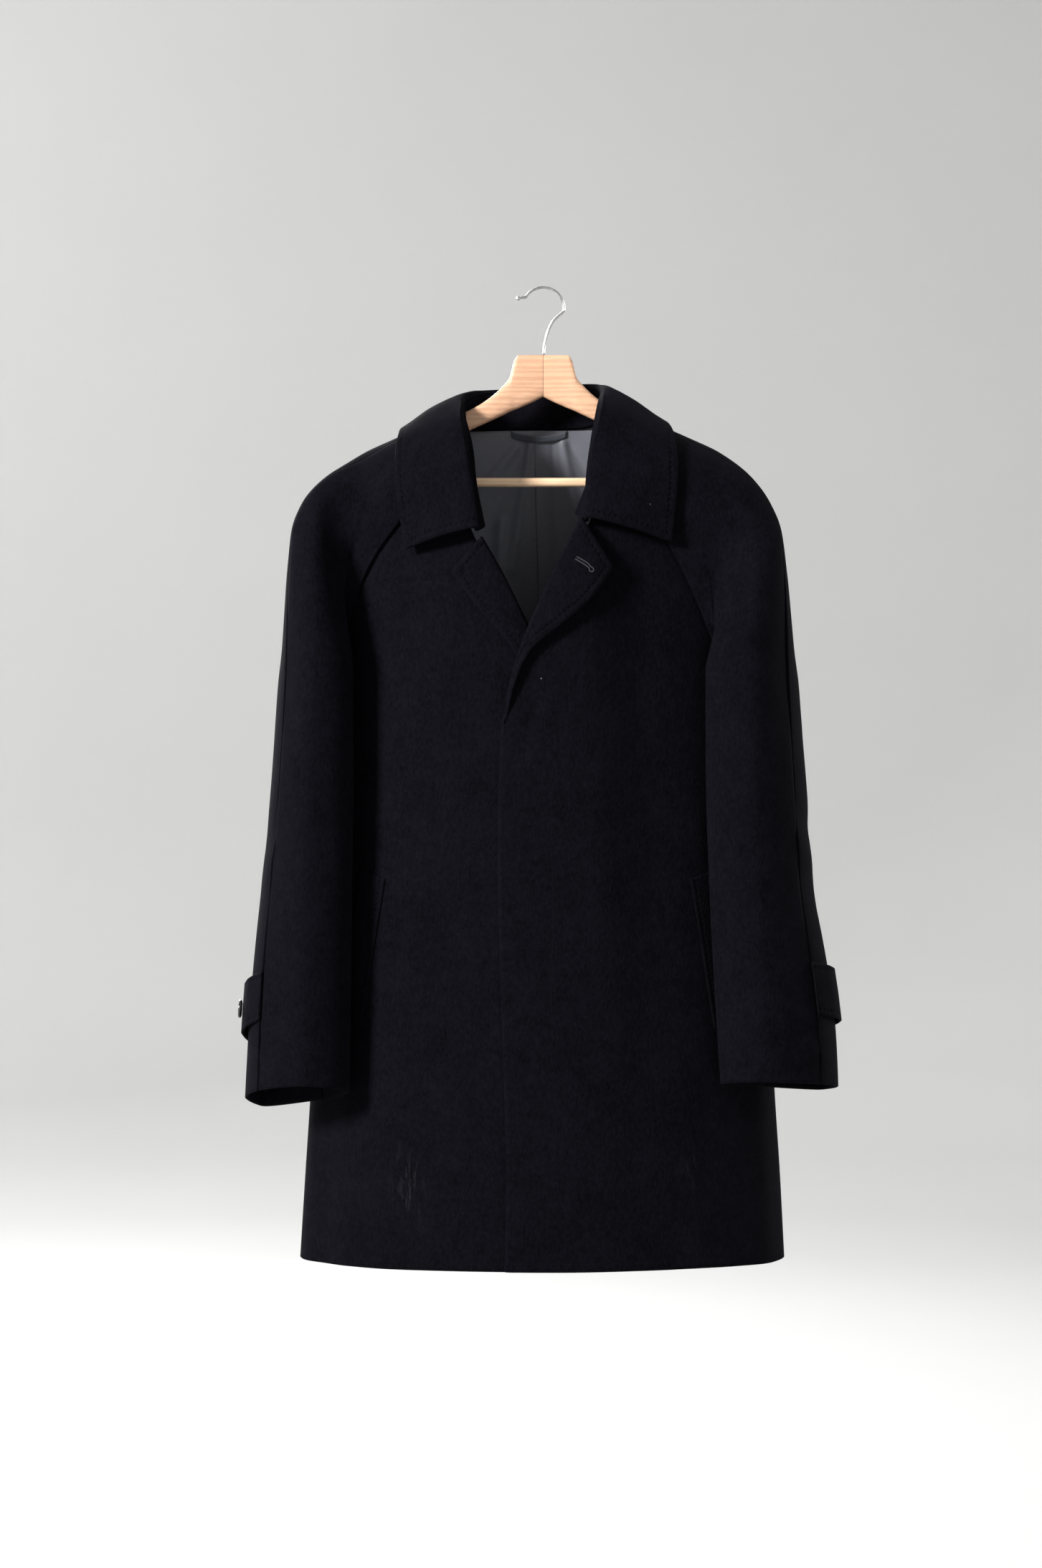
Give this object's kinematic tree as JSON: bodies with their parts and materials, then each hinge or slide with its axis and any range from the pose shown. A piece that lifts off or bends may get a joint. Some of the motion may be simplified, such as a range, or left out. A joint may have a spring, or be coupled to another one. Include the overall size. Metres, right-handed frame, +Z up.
{
  "type": "wool overcoat on a wooden hanger",
  "caption": "Single-breasted raglan wool overcoat with wide collar, open lapels, hidden fly and cuff straps, hung on a plain wooden hanger with a wire hook.",
  "frame": {"origin": "inside top of the hanger's hook, where it rests on what carries it", "axes": "+Z up, +X to the right of someone who looks at the coat's front, +Y away from them"},
  "size_m": [0.6502, 0.1907, 1.058],
  "materials": {
    "wool": "soft napped coating, near-black navy",
    "lining": "smooth grey satin lining",
    "loop": "dark blue-black tape",
    "button": "polished black horn-like plastic",
    "hanger_wood": "pale reddish wood, clear varnish",
    "hanger_bar": "pale turned wood, clear varnish",
    "hook_wire": "bright plated wire"
  },
  "bodies": {
    "root": {"front_left": "wool", "front_right": "wool", "back": "wool", "sleeve_left_front": "wool", "sleeve_left_back": "wool", "sleeve_right_front": "wool", "sleeve_right_back": "wool", "collar_stand": "wool", "collar_fall": "wool", "facing_left": "wool", "facing_right": "wool", "pocket_welt_left": "wool", "pocket_welt_right": "wool", "cuff_strap_left": "wool", "cuff_strap_right": "wool", "lining_back": "lining", "hanger_loop": "loop", "cuff_button_left": "button", "cuff_button_right": "button", "hanger_wood": "hanger_wood", "hanger_bar": "hanger_bar", "hanger_hook": "hook_wire"}
  },
  "joints": []
}
